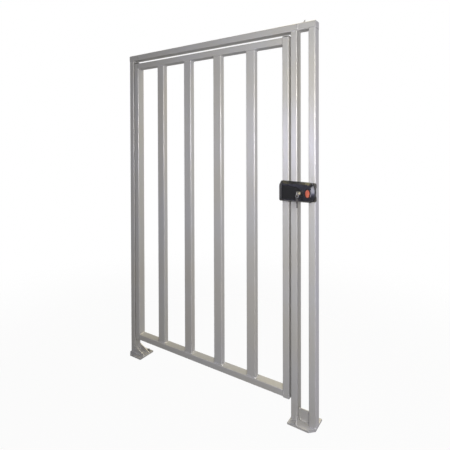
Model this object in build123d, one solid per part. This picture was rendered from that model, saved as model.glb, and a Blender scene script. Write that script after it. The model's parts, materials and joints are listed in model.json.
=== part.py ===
from build123d import *
from math import cos, pi, radians, sin, sqrt, tan
import os

# Single-leaf pedestrian security gate in welded rectangular tube: a portal of posts and
# header on base plates, a barred leaf on three barrel hinges, and an electric rim lock.
# Millimetres. Origin: foot of the hinge post's centre line, on the ground.
# +X runs along the gate towards the latch side, +Y is the side the leaf opens to, +Z is up.

# ---- tube stock ----
tube_wide = 60.0
tube_narrow = 40.0
tube_wall = 3.0
tube_corner = 5.0

# ---- portal ----
portal_width = 1454.0
portal_height = 2272.0
post_gap = 66.0              # clear gap between the latch post and the outer post
header_seam = 69.0           # the header's weld seam, from the origin
end_plate_thick = 3.0
lug_thick = 6.0
lug_width = 8.0
lug_height = 15.0
lug_lean = 6.0
lug_back = 14.0              # lug behind the header's front face

# ---- base plates ----
plate_thick = 10.0
plate_depth = 138.0
plate_overhang = 3.0         # past the outer face of the post
hinge_plate_width = 140.0
plate_chamfer = 32.0         # outer front corner
latch_plate_inner = 6.0      # latch plate past the latch post's inner face
anchor_edge = 24.0
anchor_hole = 14.0           # one pair of holes, behind the posts

# ---- stiffeners ----
gusset_thick = 6.0
gusset_run = 94.0
gusset_rise = 48.0
gusset_toe = 6.0
web_height = 64.0
fin_run = 38.0
fin_rise = 28.0
fin_splay = 22.0             # fin turned outwards from square to the post

# ---- leaf ----
hinge_gap = 9.0
latch_gap = 11.0
ground_gap = 117.0
header_gap = 19.0
bar_count = 4
cap_thick = 6.0
cap_bevel = 1.5
cap_plug = 18.0
foot_cap_thick = 3.0
cap_clearance = 0.2

# ---- hinges ----
hinge_count = 3
hinge_end_distance = 230.0   # from a leaf end to the middle of the nearest hinge
knuckle_radius = 10.0
knuckle_length = 58.0
knuckle_clear = 0.3          # barrel to the tube faces beside it
knuckle_dome = 6.0
pin_radius = 6.0
pin_clearance = 0.05
pin_seat = 46.0              # pin length inside the lower knuckle
pin_reach = 44.0             # pin length inside the upper knuckle
pin_end_gap = 1.0
pin_chamfer = 1.0
washer_thick = 2.0
washer_radius = 9.5
wing_thick = 5.0
wing_start = 3.0             # from the hinge axis to the wing's root
wing_reach = 36.0            # from the hinge axis to the wing's free edge
wing_height = 50.0

# ---- lock case; its own axes are u to the right, v up, w out from the posts ----
lock_width = 208.5
lock_height = 116.5          # at the left
lock_fall = 8.0              # fall of the top edge from there to the right end
lock_depth = 50.0
lock_overhang = 57.5         # case past the latch post's inner face, over the leaf
lock_foot_height = 1267.0
lock_side_height = 28.0      # height of the straight side wall above the posts
lock_end_radius = 120.0      # bulged right end
lock_corner = 9.0
lock_end_corner = 22.0
lock_cut = (13.0, 26.0)      # diagonal cut at the upper left corner, along u and v
front_cut = (6.0, 6.0)       # what is left of that cut on the front face
bevel_left = 24.0
bevel_top_left = 16.0
bevel_top_right = 10.0
bevel_bottom = 9.0
bevel_end = 10.0
case_wall = 3.0
case_front_wall = 6.5
pocket_width = 45.0          # keeper pocket at the left, inside the wall
partition = 3.0

# ---- mounting plate behind the case ----
lock_plate_thick = 3.0
lock_plate_inset = 2.0
lobe_reach = 2.0             # plate corners past the case's bulged end
lobe_corner = 10.0
lobe_notch_depth = 5.5
lobe_notch_half = 28.0

# ---- matte panel let into the case front, ending in a crescent-shaped groove ----
panel_thick = 3.0
panel_groove = 2.0
panel_proud = 0.4
panel_bevel = 0.8
panel_margin = 3.0           # recess to the edges of the front face
panel_corner = 4.0
panel_tip_corner = 8.0
# points as u and height over the middle of the bulged end
recess_top = (93.0, 35.0)
recess_shoulder = (137.5, 19.0)
recess_tip = (158.5, -6.0)
recess_heel = (149.0, -23.0)
recess_foot_u = 122.0
panel_top_u = 90.0
panel_shoulder = (126.0, 22.0)
panel_tip = (148.5, -4.0)
panel_heel = (141.0, -23.0)
panel_foot_u = 118.0

# ---- key cylinder, rack and pinion ----
cylinder_u = 131.0
cylinder_drop = 2.25         # below the middle of the bulged end
cylinder_radius = 11.0
cylinder_fit = 0.1
rose_radius = 12.5
rose_clearance = 0.3
rose_thick = 2.5
rose_bevel = 1.2
plug_radius = 7.0
plug_back = 22.0
plug_stand = 0.8
key_gap = 0.4                # key shoulder to the plug's face
tail_radius = 4.0
tail_back = 6.0
running_clearance = 0.05
gear_module = 1.5
pinion_teeth = 15
pressure_angle = 20.0
gear_thick = 6.0
gear_back = 13.0
gear_backlash = 0.24

# ---- bolt and keeper ----
bolt_turn = 90.0             # key turn that throws the bolt
bolt_thick = 14.0
bolt_height = 22.0
bolt_head = 46.0
bolt_back = 9.0
bolt_bevel = 1.5
bolt_inset = 1.0             # bolt nose behind the partition's left face
tail_thick = 8.0
tail_height = 10.0
guide_wall = 3.0
guide_length = 26.0
guide_clearance = 0.3
guide_gap = 1.0              # guide to the partition
keeper_width = 20.0
keeper_clearance = 2.0       # bolt to keeper, all round
keeper_height = 52.0
keeper_wall = 3.0
keeper_corner = 3.0
keeper_flange = 78.0
keeper_lip = 3.0
keeper_setback = 9.0         # keeper left of the bolt nose at rest

# ---- push button ----
button_u = 177.0
button_drop = 2.75           # below the middle of the bulged end
button_width = 24.0
button_height = 42.0
button_stand = 5.0
button_bevel = 1.6
button_sunk = 2.0            # head below the case's face
button_travel = 3.0
button_clearance = 0.3
bezel_wall = 3.5
bezel_stand = 1.0
bezel_floor = 2.0
stem_radius = 4.0
stem_back = 20.0
switch_size = 16.0
switch_length = 22.4

# ---- release solenoid ----
solenoid_u = 80.0
solenoid_gap = 5.0           # coil above the bolt guide
solenoid_length = 34.0
coil_radius = 9.0
coil_gap = 0.3               # coil to the frame's floor
frame_strip = 2.0
core_radius = 3.5
core_stroke = 4.8
core_end = 3.0               # core past the far ear, less core_gap
core_gap = 0.3               # collar to the near ear at the end of the stroke
collar_radius = 5.5
collar_thick = 2.5

# ---- decorative rib beside the button ----
rib_width = 2.6
rib_stand = 0.8
rib_margin = 3.0             # from the front face's bulged edge
rib_angle = 10.0

# ---- keys ----
key_thick = 2.2
key_blade = 8.0
key_point = 3.0
key_blade_length = 28.0
key_shoulder = 4.0
key_bow = 26.0
spare_bow = 14.0
key_hole_w = 86.0
key_hole_radius = 4.5
key_end_margin = 9.0
keyway_clearance = 0.1
ring_radius = 9.0
ring_wire = 1.2
ring_clearance = 0.3
spare_length = 64.0
spare_clearance = 0.9        # ring wire to the spare key's hole
spare_bow_length = 22.0
spare_turn = 45.0            # spare key's flat side, turned from facing the front
bitting_depths = (1.6, 2.4, 1.2, 2.8, 1.8)
bitting_start = 5.0
bitting_step = 4.5
bitting_flat = 0.6

# ---- places worked out from the sizes above ----
post_half_x = tube_narrow / 2
post_half_y = tube_wide / 2
header_foot = portal_height - tube_narrow
outer_post_x = portal_width - tube_narrow
latch_post_x = outer_post_x - tube_narrow - post_gap
latch_face = latch_post_x - post_half_x
leaf_left = post_half_x + hinge_gap
leaf_right = latch_face - latch_gap
leaf_foot = ground_gap
leaf_top = header_foot - header_gap
leaf_height = leaf_top - leaf_foot
stile_foot = leaf_foot + foot_cap_thick
stile_height = leaf_height - foot_cap_thick - cap_thick
hinge_stile_x = leaf_left + tube_narrow / 2
latch_stile_x = leaf_right - tube_narrow / 2
rail_length = leaf_right - leaf_left - 2 * tube_narrow
hinge_axis_x = (post_half_x + leaf_left) / 2
hinge_axis_y = post_half_y + knuckle_clear + knuckle_radius
pitch_radius = gear_module * pinion_teeth / 2
bolt_travel = pitch_radius * radians(bolt_turn)
latch_post_right = latch_post_x + post_half_x
lock_end_centre = lock_width - lock_end_radius
lock_right_height = lock_height - lock_fall
lock_end_middle = lock_right_height / 2
cylinder_v = lock_end_middle - cylinder_drop
button_v = lock_end_middle - button_drop
lock_plane = Plane(origin=(latch_face - lock_overhang, -post_half_y, lock_foot_height),
                   x_dir=(1, 0, 0), z_dir=(0, -1, 0))


def place(along_x, along_y, along_z, shape):
    return Pos(along_x, along_y, along_z) * shape


def on_lock(shape):
    return lock_plane.location * shape


def group(shapes):
    return Compound(children=list(shapes))


# ---- tubes ----
def tube(along_x, along_y, length):
    outer = RectangleRounded(along_x, along_y, tube_corner)
    bore = Rectangle(along_x - 2 * tube_wall, along_y - 2 * tube_wall)
    return extrude(outer - bore, length)


def upright(centre_x, foot, length):
    return place(centre_x, 0, foot, tube(tube_narrow, tube_wide, length))


def level_tube(start_x, foot, length):
    laid = Rot(0, 90, 0) * tube(tube_narrow, tube_wide, length)
    return place(start_x, 0, foot + tube_narrow / 2, laid)


def post(centre_x):
    return upright(centre_x, plate_thick, header_foot - plate_thick)


# ---- portal ----
def header_stub():
    start = -post_half_x + end_plate_thick
    return level_tube(start, header_foot, header_seam - start)


def header_beam():
    return level_tube(header_seam, header_foot, latch_post_right - header_seam)


def header_end():
    end = outer_post_x + post_half_x - end_plate_thick
    return level_tube(latch_post_right, header_foot, end - latch_post_right)


def header_lug():
    profile = Polygon((0, 0), (lug_width, 0), (lug_width + lug_lean, lug_height),
                      (lug_width / 2 + lug_lean, lug_height), align=None)
    lug = extrude(Plane.XZ * profile, -lug_thick)
    return place(latch_post_right + (post_gap - lug_width) / 2, -post_half_y + lug_back, portal_height, lug)


def header_end_plates():
    plate = Rot(0, 90, 0) * extrude(RectangleRounded(tube_narrow, tube_wide, tube_corner), end_plate_thick)
    middle = header_foot + tube_narrow / 2
    right_end = outer_post_x + post_half_x - end_plate_thick
    return group([place(-post_half_x, 0, middle, plate), place(right_end, 0, middle, plate)])


def base_plate(left, right, outer_side):
    # outer_side is 0 where the outer face is at the left, -1 where it is at the right
    width = right - left
    sheet = extrude(Rectangle(width, plate_depth), plate_thick)
    front_edges = sheet.edges().filter_by(Axis.Z).sort_by(Axis.Y)[:2]
    sheet = chamfer(front_edges.sort_by(Axis.X)[outer_side], plate_chamfer)
    anchor = Cylinder(anchor_hole / 2, 4 * plate_thick)
    hole_x = width / 2 - anchor_edge
    hole_y = plate_depth / 2 - anchor_edge
    for hole in Locations((-hole_x, hole_y), (hole_x, hole_y)):
        sheet -= hole * anchor
    return place((left + right) / 2, 0, 0, sheet)


def hinge_base_plate():
    left = -post_half_x - plate_overhang
    return base_plate(left, left + hinge_plate_width, 0)


def latch_base_plate():
    return base_plate(latch_face - latch_plate_inner, outer_post_x + post_half_x + plate_overhang, -1)


def triangle_plate(run, rise, toe, thick):
    # right angle at the origin, run along +X, rise along +Z, plate from y = 0 to y = thick
    profile = Polygon((0, 0), (run, 0), (run, toe), (toe, rise), (0, rise), align=None)
    return extrude(Plane.XZ * profile, -thick)


def hinge_gussets():
    plate = triangle_plate(gusset_run, gusset_rise, gusset_toe, gusset_thick)
    front = -post_half_y
    rear = post_half_y - gusset_thick
    return group(place(post_half_x, y, plate_thick, plate) for y in (front, rear))


def post_web():
    return place(latch_post_right + post_gap / 2, 0, plate_thick + web_height / 2,
                 Box(post_gap, gusset_thick, web_height))


def latch_fin():
    # the root is cut back to the post's front face
    fin = Rot(0, 0, fin_splay - 90) * triangle_plate(fin_run, fin_rise, gusset_toe / 2, gusset_thick)
    fin -= Box(2 * fin_run, fin_run, 2 * fin_run, align=(Align.CENTER, Align.MIN, Align.CENTER))
    root = latch_post_right - tube_corner - gusset_thick / cos(radians(fin_splay))
    return place(root, -post_half_y, plate_thick, fin)


# ---- leaf ----
def bar_centres():
    clear = (rail_length - bar_count * tube_wide) / (bar_count + 1)
    first = leaf_left + tube_narrow + clear + tube_wide / 2
    return [first + index * (clear + tube_wide) for index in range(bar_count)]


def leaf_bar(centre_x):
    foot = stile_foot + tube_narrow
    length = stile_height - 2 * tube_narrow
    return place(centre_x, 0, foot, tube(tube_wide, tube_narrow, length))


def leaf_rail(foot):
    return level_tube(leaf_left + tube_narrow, foot, rail_length)


def stile_cap():
    inner_x = tube_narrow - 2 * tube_wall - 2 * cap_clearance
    inner_y = tube_wide - 2 * tube_wall - 2 * cap_clearance
    lid = extrude(RectangleRounded(tube_narrow, tube_wide, tube_corner), cap_thick)
    lid = chamfer(lid.faces().sort_by(Axis.Z)[-1].edges(), cap_bevel)
    plug = extrude(Rectangle(inner_x, inner_y), -cap_plug)
    return lid + plug


def upper_stile_caps():
    return group(place(x, 0, stile_foot + stile_height, stile_cap()) for x in (hinge_stile_x, latch_stile_x))


def lower_stile_caps():
    plate = extrude(RectangleRounded(tube_narrow, tube_wide, tube_corner), foot_cap_thick)
    return group(place(x, 0, leaf_foot, plate) for x in (hinge_stile_x, latch_stile_x))


# ---- hinges: a lower knuckle with its pin on the post, an upper one on the leaf ----
def hinge_heights():
    lowest = leaf_foot + hinge_end_distance
    step = (leaf_height - 2 * hinge_end_distance) / (hinge_count - 1)
    return [lowest + index * step for index in range(hinge_count)]


def at_hinges(shape):
    return group(place(hinge_axis_x, hinge_axis_y, z, shape) for z in hinge_heights())


def knuckle(bore_radius, bore_depth, side):
    # the mouth is at z = 0 and the domed end above; side is -1 for the post, +1 for the leaf
    profile = Polygon((0, 0), (knuckle_radius, 0), (knuckle_radius, knuckle_length - knuckle_dome),
                      (knuckle_radius - knuckle_dome / 2, knuckle_length), (0, knuckle_length), align=None)
    barrel = revolve(Plane.XZ * profile, Axis.Z)
    wing_foot = (knuckle_length - knuckle_dome - wing_height) / 2
    wing = Box(wing_reach - wing_start, wing_thick, wing_height, align=(Align.MIN, Align.MIN, Align.MIN))
    wing = place(wing_start, -knuckle_radius - knuckle_clear, wing_foot, wing)
    if side < 0:
        wing = mirror(wing, Plane.YZ)
    body = barrel + wing
    return body - extrude(Circle(bore_radius), bore_depth)


def hinge_lower_knuckles():
    lower = mirror(knuckle(pin_radius, pin_seat, -1), Plane.XY)
    return at_hinges(place(0, 0, -washer_thick / 2, lower))


def hinge_upper_knuckles():
    upper = knuckle(pin_radius + pin_clearance, pin_reach + pin_end_gap, 1)
    return at_hinges(place(0, 0, washer_thick / 2, upper))


def hinge_pins():
    length = pin_seat + washer_thick + pin_reach
    pin = extrude(Circle(pin_radius), length)
    pin = chamfer(pin.faces().sort_by(Axis.Z)[-1].edges(), pin_chamfer)
    return at_hinges(place(0, 0, -washer_thick / 2 - pin_seat, pin))


def hinge_washers():
    ring = Circle(washer_radius) - Circle(pin_radius + pin_clearance)
    return at_hinges(place(0, 0, -washer_thick / 2, extrude(ring, washer_thick)))


# ---- lock case ----
def end_u(v, radius):
    return lock_end_centre + sqrt(radius ** 2 - (v - lock_end_middle) ** 2)


def lock_outline(left, bottom, top_left, top_right, radius, cut, corner, end_corner):
    start = (left, bottom)
    end_low = (end_u(bottom, radius), bottom)
    end_mid = (lock_end_centre + radius, lock_end_middle)
    end_high = (end_u(top_right, radius), top_right)
    cut_high = (left + cut[0], top_left)
    cut_low = (left, top_left - cut[1])
    edges = [Line(start, end_low), ThreePointArc(end_low, end_mid, end_high), Line(end_high, cut_high),
             Line(cut_high, cut_low), Line(cut_low, start)]
    face = make_face(edges)
    face = fillet(face.vertices().sort_by(Axis.X)[-2:], end_corner)
    return fillet(face.vertices().sort_by(Axis.X)[:3], corner)


def full_outline(inset):
    return lock_outline(inset, inset, lock_height - inset, lock_right_height - inset,
                        lock_end_radius - inset, lock_cut, lock_corner - inset, lock_end_corner - inset)


def front_outline(inset):
    return lock_outline(bevel_left + inset, bevel_bottom + inset, lock_height - bevel_top_left - inset,
                        lock_right_height - bevel_top_right - inset, lock_end_radius - bevel_end - inset,
                        front_cut, lock_corner - inset, lock_end_corner - inset)


def pillow(inset, back, front):
    side = extrude(Pos(0, 0, back) * full_outline(inset), lock_side_height - back)
    top = loft([Pos(0, 0, lock_side_height) * full_outline(inset), Pos(0, 0, front) * front_outline(inset)])
    return side + top


def swoosh_face(inset, top, shoulder, tip, heel, foot_u):
    # straight at the left, its upper edge falling in an arc to a tip beside the button
    left = bevel_left + panel_margin + inset
    bottom = bevel_bottom + panel_margin + inset - lock_end_middle
    high = top[1] + panel_margin
    foot = (foot_u, bottom)
    edges = [Line((left, bottom), foot), ThreePointArc(foot, heel, tip), ThreePointArc(tip, shoulder, top),
             Line(top, (left, high)), Line((left, high), (left, bottom))]
    face = make_face(edges)
    face = fillet(face.vertices().sort_by(Axis.X)[-1], panel_tip_corner)
    return Pos(0, lock_end_middle) * fillet(face.vertices().group_by(Axis.X)[0], panel_corner)


def recess_outline():
    return swoosh_face(0, recess_top, recess_shoulder, recess_tip, recess_heel, recess_foot_u)


def panel_outline():
    top = (panel_top_u, recess_top[1] - panel_groove)
    return swoosh_face(panel_groove, top, panel_shoulder, panel_tip, panel_heel, panel_foot_u)


def button_hole(extra):
    return Pos(button_u, button_v) * Ellipse(button_width / 2 + extra, button_height / 2 + extra)


def cylinder_hole(radius):
    return Pos(cylinder_u, cylinder_v) * Circle(radius)


def bolt_centre_v():
    return cylinder_v + pitch_radius + 1.25 * gear_module + tail_height - bolt_height / 2


def lock_case():
    shell = pillow(0, lock_plate_thick, lock_depth)
    cavity = pillow(case_wall, lock_plate_thick, lock_depth - case_front_wall)
    rib_left = case_wall + pocket_width
    left_room = Box(rib_left, 3 * lock_height, 3 * lock_depth, align=(Align.MIN, Align.CENTER, Align.CENTER))
    right_room = Box(lock_width, 3 * lock_height, 3 * lock_depth, align=(Align.MIN, Align.CENTER, Align.CENTER))
    shell -= cavity & left_room
    shell -= cavity & (Pos(rib_left + partition, 0, 0) * right_room)
    shell -= extrude(Pos(0, 0, lock_depth - panel_thick) * recess_outline(), 2 * panel_thick)
    shell -= extrude(cylinder_hole(cylinder_radius + cylinder_fit), 2 * lock_depth)
    shell -= extrude(button_hole(bezel_wall), 2 * lock_depth)
    bolt_slot = Box(3 * partition, bolt_height + 2 * guide_clearance, bolt_thick + 2 * guide_clearance)
    shell -= Pos(rib_left + partition / 2, bolt_centre_v(), bolt_back + bolt_thick / 2) * bolt_slot
    return on_lock(shell)


def lock_panel():
    panel = extrude(panel_outline(), panel_thick + panel_proud)
    panel = chamfer(panel.faces().sort_by(Axis.Z)[-1].edges(), panel_bevel)
    panel = Pos(0, 0, lock_depth - panel_thick) * panel
    panel -= extrude(cylinder_hole(rose_radius + rose_clearance), 2 * lock_depth)
    return on_lock(panel)


def lock_plate():
    left = case_wall + pocket_width
    right = lock_width + lobe_reach
    low = lock_plate_inset
    high_right = lock_right_height - lock_plate_inset
    fall = (lock_height - lock_right_height) * (right - left) / lock_width
    corners = ((left, low), (right, low), (right, high_right), (left, high_right + fall))
    sheet = make_face(Polyline(*corners, close=True))
    sheet = fillet(sheet.vertices().sort_by(Axis.X)[-2:], lobe_corner)
    notch_radius = (lobe_notch_half ** 2 + lobe_notch_depth ** 2) / (2 * lobe_notch_depth)
    sheet -= Pos(right - lobe_notch_depth + notch_radius, lock_end_middle) * Circle(notch_radius)
    return on_lock(extrude(sheet, lock_plate_thick))


def lock_trim():
    radius = lock_end_radius - bevel_end - rib_margin
    band = Circle(radius + rib_width / 2) - Circle(radius - rib_width / 2)
    reach = 2 * radius
    spread = reach * tan(radians(rib_angle))
    wedge = Polygon((0, 0), (reach, -spread), (reach, spread), align=None)
    return on_lock(Pos(lock_end_centre, lock_end_middle, lock_depth) * extrude(band & wedge, rib_stand))


# ---- key cylinder ----
def cylinder_body():
    ring = cylinder_hole(cylinder_radius) - cylinder_hole(plug_radius + running_clearance)
    return on_lock(extrude(Pos(0, 0, plug_back) * ring, lock_depth + panel_proud - plug_back))


def cylinder_rose():
    ring = cylinder_hole(rose_radius) - cylinder_hole(plug_radius + running_clearance)
    disc = extrude(ring, rose_thick)
    outer_edge = disc.edges().filter_by(GeomType.CIRCLE).sort_by(Axis.Z)[-2:].sort_by(SortBy.RADIUS)[-1]
    disc = chamfer(outer_edge, rose_bevel)
    return on_lock(Pos(0, 0, lock_depth + panel_proud) * disc)


def lock_plug():
    front = lock_depth + panel_proud + rose_thick + plug_stand
    barrel = extrude(Pos(0, 0, plug_back) * cylinder_hole(plug_radius), front - plug_back)
    shaft = extrude(Pos(0, 0, tail_back) * cylinder_hole(tail_radius), plug_back - tail_back)
    keyway = Box(key_thick + 2 * keyway_clearance, key_blade + 2 * keyway_clearance, key_blade_length + 1,
                 align=(Align.CENTER, Align.CENTER, Align.MAX))
    return on_lock(barrel + shaft - Pos(cylinder_u, cylinder_v, front) * keyway)


def involute_point(base_radius, roll):
    return (base_radius * (cos(roll) + roll * sin(roll)), base_radius * (sin(roll) - roll * cos(roll)))


def turned(point, angle):
    return (point[0] * cos(angle) - point[1] * sin(angle), point[0] * sin(angle) + point[1] * cos(angle))


def pinion_profile():
    base = pitch_radius * cos(radians(pressure_angle))
    tip = pitch_radius + gear_module
    root = pitch_radius - 1.25 * gear_module
    roll_pitch = tan(radians(pressure_angle))
    roll_tip = sqrt((tip / base) ** 2 - 1)
    half_tooth = (pi / 2 - gear_backlash / gear_module / 2) / pinion_teeth
    offset = half_tooth + roll_pitch - radians(pressure_angle)
    rolls = (0, roll_pitch, roll_tip)
    flank = [turned(involute_point(base, roll), -offset) for roll in rolls]
    foot = turned((root, 0), -offset)
    edges = []
    for index in range(pinion_teeth):
        # a tooth points up at rest, so that the rack above has a matching space
        angle = pi / 2 + 2 * pi * index / pinion_teeth
        low = [turned(point, angle) for point in flank]
        high = [turned((x, -y), angle) for x, y in flank]
        low_foot = turned(foot, angle)
        high_foot = turned((foot[0], -foot[1]), angle)
        next_foot = turned(foot, angle + 2 * pi / pinion_teeth)
        gap_middle = turned((root, 0), angle + pi / pinion_teeth)
        edges.append(Polyline(low_foot, *low, *reversed(high), high_foot))
        edges.append(ThreePointArc(high_foot, gap_middle, next_foot))
    return make_face(edges)


def drive_pinion():
    gear = Pos(cylinder_u, cylinder_v, gear_back) * extrude(pinion_profile(), gear_thick)
    gear -= extrude(cylinder_hole(tail_radius), 2 * lock_depth)
    return on_lock(gear)


# ---- bolt: head, tail and a rack that the pinion drives ----
def rack_cut(centre_u, pitch_v):
    # the space between two rack teeth, open downwards
    half_pitch_width = (pi * gear_module / 2 + gear_backlash / 2) / 2
    slope = tan(radians(pressure_angle))
    deep = 1.25 * gear_module
    low = gear_module + 1.0
    top_half = half_pitch_width - deep * slope
    low_half = half_pitch_width + low * slope
    return Polygon((centre_u - low_half, pitch_v - low), (centre_u + low_half, pitch_v - low),
                   (centre_u + top_half, pitch_v + deep), (centre_u - top_half, pitch_v + deep), align=None)


def lock_bolt():
    pitch_v = cylinder_v + pitch_radius
    nose = case_wall + pocket_width + bolt_inset
    head = Box(bolt_head, bolt_height, bolt_thick, align=(Align.MIN, Align.CENTER, Align.MIN))
    head = chamfer(head.faces().sort_by(Axis.X)[0].edges(), bolt_bevel)
    head = Pos(nose, bolt_centre_v(), bolt_back) * head
    pitch = pi * gear_module
    # teeth reach from the mesh at rest to the mesh with the bolt thrown, and one more each way
    rack_spaces = range(-1, int(bolt_travel / pitch) + 3)
    tail_end = cylinder_u + (rack_spaces[-1] + 0.5) * pitch
    tail_low = pitch_v - gear_module
    rack_start = cylinder_u + (rack_spaces[0] - 0.5) * pitch
    tail_top = pitch_v + 1.25 * gear_module + tail_height
    plain = Rectangle(rack_start - nose, tail_height, align=(Align.MIN, Align.MAX))
    plain = Pos(nose, tail_top) * plain
    toothed = Rectangle(tail_end - rack_start, tail_top - tail_low, align=(Align.MIN, Align.MIN))
    toothed = Pos(rack_start, tail_low) * toothed
    profile = plain + toothed
    for index in rack_spaces:
        profile -= rack_cut(cylinder_u + index * pitch, pitch_v)
    tail = extrude(Pos(0, 0, gear_back + gear_thick / 2 - tail_thick / 2) * profile, tail_thick)
    return on_lock(head + tail)


def bolt_guide():
    outer_v = bolt_height + 2 * guide_clearance + 2 * guide_wall
    outer_w = bolt_back + bolt_thick + guide_clearance + guide_wall - lock_plate_thick
    start = case_wall + pocket_width + partition + guide_gap
    block = Box(guide_length, outer_v, outer_w, align=(Align.MIN, Align.CENTER, Align.MIN))
    block = Pos(start, bolt_centre_v(), lock_plate_thick) * block
    slot = Box(3 * guide_length, bolt_height + 2 * guide_clearance, bolt_thick + 2 * guide_clearance)
    return on_lock(block - Pos(start, bolt_centre_v(), bolt_back + bolt_thick / 2) * slot)


def lock_keeper():
    nose = case_wall + pocket_width + bolt_inset
    right = nose - keeper_setback + keeper_lip
    keeper_depth = bolt_back + bolt_thick + keeper_clearance
    box = Box(keeper_width, keeper_height, keeper_depth + keeper_wall,
              align=(Align.MAX, Align.CENTER, Align.MIN))
    box = fillet(box.edges().filter_by(Axis.X).group_by(Axis.Z)[-1], keeper_corner)
    hollow = Box(keeper_width, keeper_height - 2 * keeper_wall, keeper_depth,
                 align=(Align.MAX, Align.CENTER, Align.MIN))
    keeper = box - Pos(-keeper_wall, 0, 0) * hollow
    mouth = Box(3 * keeper_wall, bolt_height + 2 * keeper_clearance, bolt_thick + 2 * keeper_clearance)
    keeper -= Pos(0, 0, bolt_back + bolt_thick / 2) * mouth
    flange = Box(keeper_width + keeper_lip, keeper_flange, keeper_wall,
                 align=(Align.MAX, Align.CENTER, Align.MIN))
    keeper = keeper + flange
    return on_lock(Pos(right, bolt_centre_v(), 0) * keeper)


# ---- push button ----
def push_button():
    front = lock_depth + button_stand
    head_thick = button_stand + button_sunk
    head = extrude(Ellipse(button_width / 2, button_height / 2), head_thick)
    head = chamfer(head.faces().sort_by(Axis.Z)[-1].edges(), button_bevel)
    head = Pos(button_u, button_v, front - head_thick) * head
    stem = extrude(Pos(button_u, button_v, stem_back) * Circle(stem_radius), front - head_thick - stem_back)
    return on_lock(head + stem)


def button_bezel():
    # a sleeve with a floor that stops the pressed button
    floor_top = lock_depth - case_front_wall - button_travel
    ring = button_hole(bezel_wall) - button_hole(button_clearance)
    sleeve = extrude(Pos(0, 0, floor_top) * ring, lock_depth + bezel_stand - floor_top)
    floor_ring = button_hole(bezel_wall) - Pos(button_u, button_v) * Circle(stem_radius + button_clearance)
    floor = extrude(Pos(0, 0, floor_top - bezel_floor) * floor_ring, bezel_floor)
    return on_lock(sleeve + floor)


def button_switch():
    height = stem_back - button_travel - button_clearance - lock_plate_thick
    block = Box(switch_size, switch_length, height, align=(Align.CENTER, Align.CENTER, Align.MIN))
    return on_lock(Pos(button_u, button_v, lock_plate_thick) * block)


# ---- release solenoid ----
def solenoid_axis_v():
    guide_top = bolt_centre_v() + bolt_height / 2 + guide_clearance + guide_wall
    return guide_top + solenoid_gap + coil_radius


def solenoid_axis_w():
    return lock_plate_thick + frame_strip + coil_radius + coil_gap


def solenoid_frame():
    # a strip bent into a U: a floor on the plate and two ears that the core passes through
    outer_u = solenoid_length + 2 * frame_strip
    wide = 2 * coil_radius
    tall = 2 * coil_radius + frame_strip
    strip = Box(outer_u, wide, tall, align=(Align.CENTER, Align.CENTER, Align.MIN))
    inside = Box(solenoid_length, 2 * wide, 2 * tall, align=(Align.CENTER, Align.CENTER, Align.MIN))
    strip -= Pos(0, 0, frame_strip) * inside
    strip = Pos(solenoid_u, solenoid_axis_v(), lock_plate_thick) * strip
    hole = Rot(0, 90, 0) * Cylinder(core_radius + running_clearance, 2 * outer_u)
    return on_lock(strip - Pos(solenoid_u, solenoid_axis_v(), solenoid_axis_w()) * hole)


def solenoid_coil():
    ring = Circle(coil_radius) - Circle(core_radius + running_clearance)
    coil = Rot(0, 90, 0) * extrude(ring, solenoid_length)
    return on_lock(Pos(solenoid_u - solenoid_length / 2, solenoid_axis_v(), solenoid_axis_w()) * coil)


def solenoid_core():
    length = solenoid_length + 2 * frame_strip + core_stroke + core_end
    core = Rot(0, 90, 0) * extrude(Circle(core_radius), length)
    collar = Rot(0, 90, 0) * extrude(Circle(collar_radius), collar_thick)
    start = solenoid_u - solenoid_length / 2 - frame_strip - core_stroke - core_gap
    core = Pos(start, 0, 0) * core + Pos(start - collar_thick, 0, 0) * collar
    return on_lock(Pos(0, solenoid_axis_v(), solenoid_axis_w()) * core)


# ---- keys ----
def key_profile(blade_end, blade_start, bow_end, bow_width):
    # blade along the first axis, bow at the far end; the second axis is the key's width
    half_blade = key_blade / 2
    bow_start = blade_start + key_shoulder
    blade = Polygon((blade_end, 0), (blade_end + key_point, half_blade), (blade_start, half_blade),
                    (blade_start, -half_blade), (blade_end + key_point, -half_blade), align=None)
    shoulder = Rectangle(2 * key_shoulder, bow_width / 2, align=(Align.MIN, Align.CENTER))
    bow = RectangleRounded(bow_end - bow_start, bow_width, bow_width / 3)
    hole = Circle(key_hole_radius)
    return (blade + Pos(blade_start, 0) * shoulder + Pos((bow_start + bow_end) / 2, 0) * bow
            - Pos(bow_end - key_end_margin, 0) * hole)


def cut_bitting(profile, blade_end):
    edge = key_blade / 2
    for index, depth in enumerate(bitting_depths):
        where = blade_end + bitting_start + index * bitting_step
        low = (where + bitting_flat, edge - depth)
        profile -= Polygon((where - depth - 1, edge + 1), (where + depth + 1, edge + 1), low,
                           (where - bitting_flat, edge - depth), align=None)
    return profile


def lock_key():
    front = lock_depth + panel_proud + rose_thick + plug_stand
    profile = key_profile(front - key_blade_length, front + key_gap, key_hole_w + key_end_margin, key_bow)
    flat = extrude(profile, key_thick / 2, both=True)
    # blade direction to w, width to v
    return on_lock(Pos(cylinder_u, cylinder_v, 0) * Rot(0, -90, 0) * flat)


def ring_top_v():
    return cylinder_v - key_hole_radius + ring_wire + ring_clearance


def key_ring():
    wire = Plane.XZ * (Pos(ring_radius, 0) * RegularPolygon(ring_wire, 6))
    ring = revolve(wire, Axis.Z)
    return on_lock(Pos(cylinder_u, ring_top_v() - ring_radius, key_hole_w) * ring)


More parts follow.
